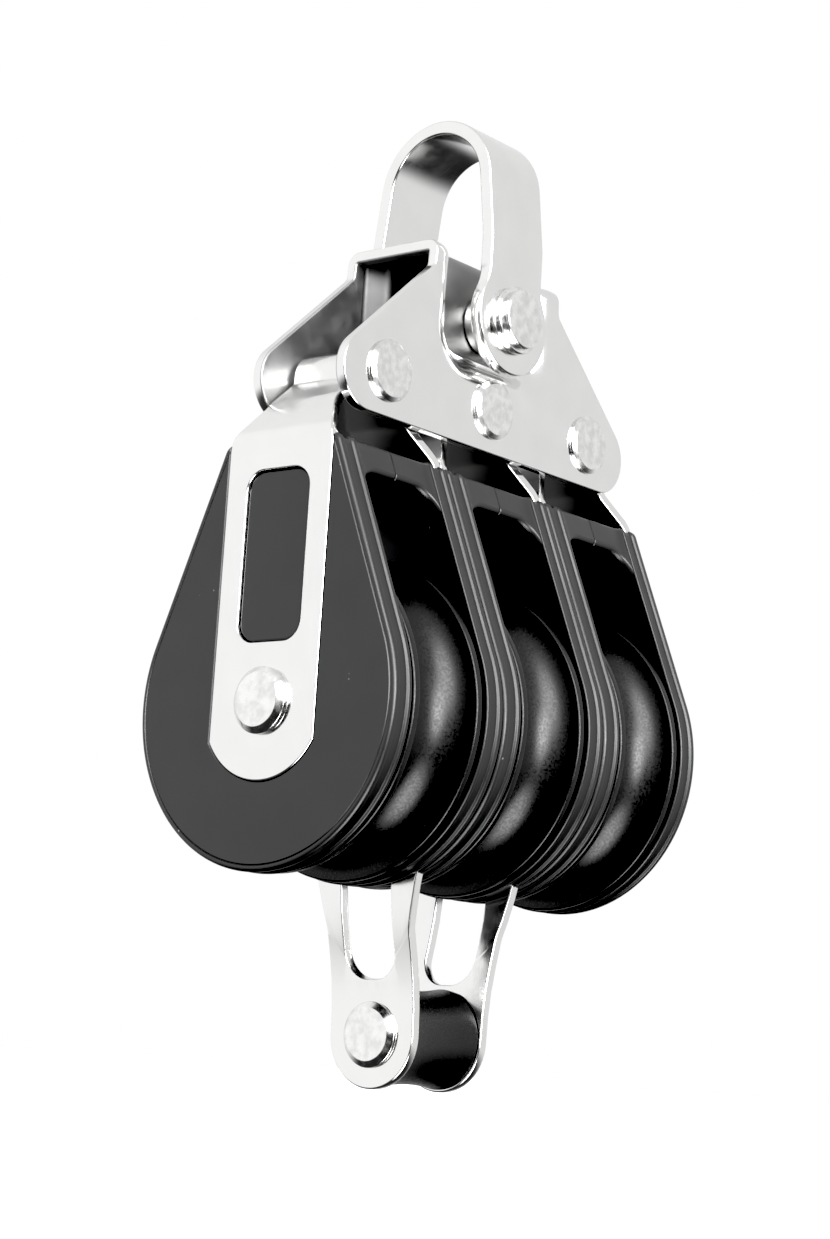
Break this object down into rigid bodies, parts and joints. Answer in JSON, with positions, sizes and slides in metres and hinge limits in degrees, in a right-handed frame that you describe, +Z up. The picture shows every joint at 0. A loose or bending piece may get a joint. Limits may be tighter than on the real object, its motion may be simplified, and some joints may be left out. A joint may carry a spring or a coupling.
{
  "type": "triple sheave block with becket",
  "caption": "Rope block with side-by-side sheaves in plastic shells, steel straps, a becket below and a strip shackle on a folded steel head.",
  "frame": {"origin": "the point inside the shackle's crown that bears on the fitting that holds the block", "axes": "+Z up towards the holding point, +Y along the sheave axle, +X along the rope through the block"},
  "size_m": [0.038, 0.0612, 0.1174],
  "materials": {
    "polished_steel": "polished stainless sheet and pins",
    "black_plastic": "satin glass-filled nylon",
    "sheave_plastic": "smooth acetal",
    "bearing_plastic": "natural acetal"
  },
  "bodies": {
    "shackle": {"shackle_bow": "polished_steel", "shackle_pin": "polished_steel", "pin_spacers": "polished_steel", "split_ring": "polished_steel"},
    "block": {"head_bracket": "polished_steel", "pin_bush": "polished_steel", "rivet_left": "polished_steel", "rivet_middle": "polished_steel", "rivet_right": "polished_steel", "strap_left": "polished_steel", "strap_becket": "polished_steel", "strap_right": "polished_steel", "cheek_1": "black_plastic", "cheek_2": "black_plastic", "cheek_3": "black_plastic", "cheek_4": "black_plastic", "cheek_5": "black_plastic", "cheek_6": "black_plastic", "axle": "polished_steel", "thrust_washers_left": "bearing_plastic", "thrust_washers_middle": "bearing_plastic", "thrust_washers_right": "bearing_plastic", "becket_pin": "polished_steel"},
    "sheave_left": {"sheave_left": "sheave_plastic", "sheave_bush_left": "bearing_plastic"},
    "sheave_middle": {"sheave_middle": "sheave_plastic", "sheave_bush_middle": "bearing_plastic"},
    "sheave_right": {"sheave_right": "sheave_plastic", "sheave_bush_right": "bearing_plastic"},
    "becket_roller": {"becket_bush": "sheave_plastic"}
  },
  "joints": [
    {"name": "shackle_swing", "type": "hinge", "parent": "shackle", "child": "block", "pos_m": [0, 0, -0.0237], "axis": [1, 0, 0], "range_deg": [-70, 70]},
    {"name": "sheave_left_spin", "type": "hinge", "parent": "block", "child": "sheave_left", "pos_m": [0, -0.0196, -0.0738], "axis": [0, 1, 0], "continuous": true},
    {"name": "sheave_middle_spin", "type": "hinge", "parent": "block", "child": "sheave_middle", "pos_m": [0, 0, -0.0738], "axis": [0, 1, 0], "continuous": true},
    {"name": "sheave_right_spin", "type": "hinge", "parent": "block", "child": "sheave_right", "pos_m": [0, 0.0196, -0.0738], "axis": [0, 1, 0], "continuous": true},
    {"name": "becket_roller_spin", "type": "hinge", "parent": "block", "child": "becket_roller", "pos_m": [0, 0, -0.1095], "axis": [0, 1, 0], "continuous": true}
  ]
}
